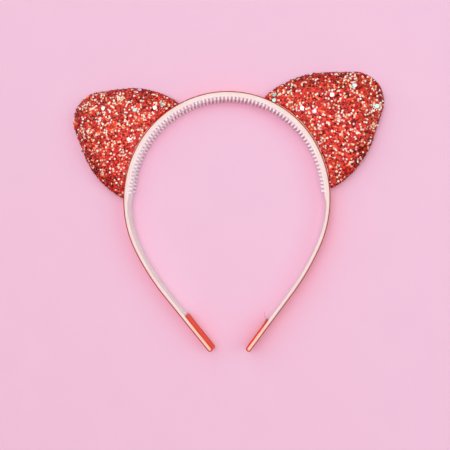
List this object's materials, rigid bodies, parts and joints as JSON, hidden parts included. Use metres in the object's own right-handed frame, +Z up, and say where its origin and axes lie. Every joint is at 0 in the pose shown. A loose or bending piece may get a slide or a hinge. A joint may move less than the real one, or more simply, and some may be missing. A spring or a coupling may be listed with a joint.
{
  "type": "cat ears headband",
  "caption": "Springy toothed plastic headband wrapped in red satin ribbon, with padded red glitter cat ears glued along its crown.",
  "frame": {"origin": "middle of the footprint, on the surface that the headband lies on", "axes": "+X towards the right ear as drawn, +Y from the tips towards the crown, +Z up out of the surface, across the band's width"},
  "size_m": [0.1914, 0.1638, 0.0115],
  "materials": {
    "band_plastic": "satin moulded plastic, cream",
    "ribbon_satin": "red satin ribbon",
    "glitter_fabric": "coarse red glitter with pale iridescent flakes",
    "sponge": "open-cell sponge, cream",
    "felt": "dark red felt",
    "hot_glue": "clear hot-melt glue over red",
    "thread": "red polyester sewing thread"
  },
  "bodies": {
    "crown": {"crown_band": "band_plastic", "crown_ribbon": "ribbon_satin"},
    "left_half": {"left_arm_band": "band_plastic", "left_arm_ribbon": "ribbon_satin", "left_ear_front_panel": "glitter_fabric", "left_ear_back_panel": "glitter_fabric", "left_ear_sponge": "sponge", "left_ear_base_strip": "felt", "left_ear_glue_bead": "hot_glue", "left_ear_seam_thread": "thread"},
    "right_half": {"right_arm_band": "band_plastic", "right_arm_ribbon": "ribbon_satin", "right_ear_front_panel": "glitter_fabric", "right_ear_back_panel": "glitter_fabric", "right_ear_sponge": "sponge", "right_ear_base_strip": "felt", "right_ear_glue_bead": "hot_glue", "right_ear_seam_thread": "thread"}
  },
  "joints": [
    {"name": "left_flex", "type": "hinge", "parent": "crown", "child": "left_half", "pos_m": [-0.01289, 0.07247, 0.0045], "axis": [0, 0, -1], "range_deg": [-3.5, 15], "stiffness_Nm_per_rad": 0.15},
    {"name": "right_flex", "type": "hinge", "parent": "crown", "child": "right_half", "pos_m": [0.01289, 0.07247, 0.0045], "axis": [0, 0, 1], "range_deg": [-3.5, 15], "stiffness_Nm_per_rad": 0.15}
  ]
}
